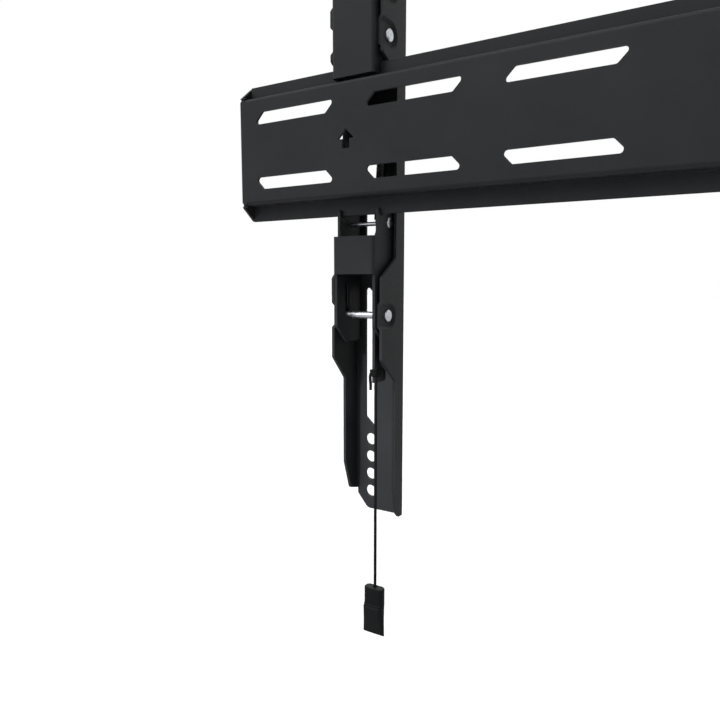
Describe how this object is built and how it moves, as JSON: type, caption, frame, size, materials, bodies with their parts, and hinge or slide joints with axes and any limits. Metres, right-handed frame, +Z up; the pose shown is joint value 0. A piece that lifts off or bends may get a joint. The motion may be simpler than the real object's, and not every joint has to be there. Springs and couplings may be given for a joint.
{
  "type": "fixed tv wall mount",
  "caption": "Low profile fixed wall mount for a flat screen: slotted wall rail and two hook-on channel brackets with sprung, cord-released latches.",
  "frame": {"origin": "centre of the wall plate's flat wall side face", "axes": "+X to the right seen from the screen, +Y into the wall, +Z up; the screen is on the -Y side"},
  "size_m": [0.654, 0.0396, 0.5446],
  "materials": {
    "powder_coat_black": "fine satin powder coat",
    "zinc_plated_steel": "bright zinc",
    "spring_wire": "oiled",
    "braided_cord": "fine braid",
    "moulded_plastic": "moulded"
  },
  "bodies": {
    "rail": {"wall_plate": "powder_coat_black"},
    "right_bracket": {"right_bracket_channel": "powder_coat_black", "right_hook_plate": "powder_coat_black", "right_hook_pin_lower": "zinc_plated_steel", "right_hook_pin_upper": "zinc_plated_steel", "right_latch_pin": "zinc_plated_steel", "right_spring_anchor_pin": "zinc_plated_steel", "right_return_spring": "spring_wire"},
    "right_latch": {"right_latch_plate": "powder_coat_black", "right_release_arm": "powder_coat_black", "right_spring_latch_pin": "zinc_plated_steel", "right_cord_knot": "braided_cord", "right_pull_cord": "braided_cord", "right_pull_tab": "moulded_plastic"},
    "left_bracket": {"left_bracket_channel": "powder_coat_black", "left_hook_plate": "powder_coat_black", "left_hook_pin_lower": "zinc_plated_steel", "left_hook_pin_upper": "zinc_plated_steel", "left_latch_pin": "zinc_plated_steel", "left_spring_anchor_pin": "zinc_plated_steel", "left_return_spring": "spring_wire"},
    "left_latch": {"left_latch_plate": "powder_coat_black", "left_release_arm": "powder_coat_black", "left_spring_latch_pin": "zinc_plated_steel", "left_cord_knot": "braided_cord", "left_pull_cord": "braided_cord", "left_pull_tab": "moulded_plastic"}
  },
  "joints": [
    {"name": "right_bracket_slide", "type": "slide", "parent": "rail", "child": "right_bracket", "axis": [1, 0, 0], "range_m": [-0.132, 0.066]},
    {"name": "right_latch_release", "type": "slide", "parent": "right_bracket", "child": "right_latch", "axis": [0, 0, -1], "range_m": [0, 0.02], "stiffness_N_per_m": 400, "springref_m": -0.02, "deforming": ["right_return_spring"]},
    {"name": "left_bracket_slide", "type": "slide", "parent": "rail", "child": "left_bracket", "axis": [1, 0, 0], "range_m": [-0.066, 0.132]},
    {"name": "left_latch_release", "type": "slide", "parent": "left_bracket", "child": "left_latch", "axis": [0, 0, -1], "range_m": [0, 0.02], "stiffness_N_per_m": 400, "springref_m": -0.02, "deforming": ["left_return_spring"]}
  ]
}
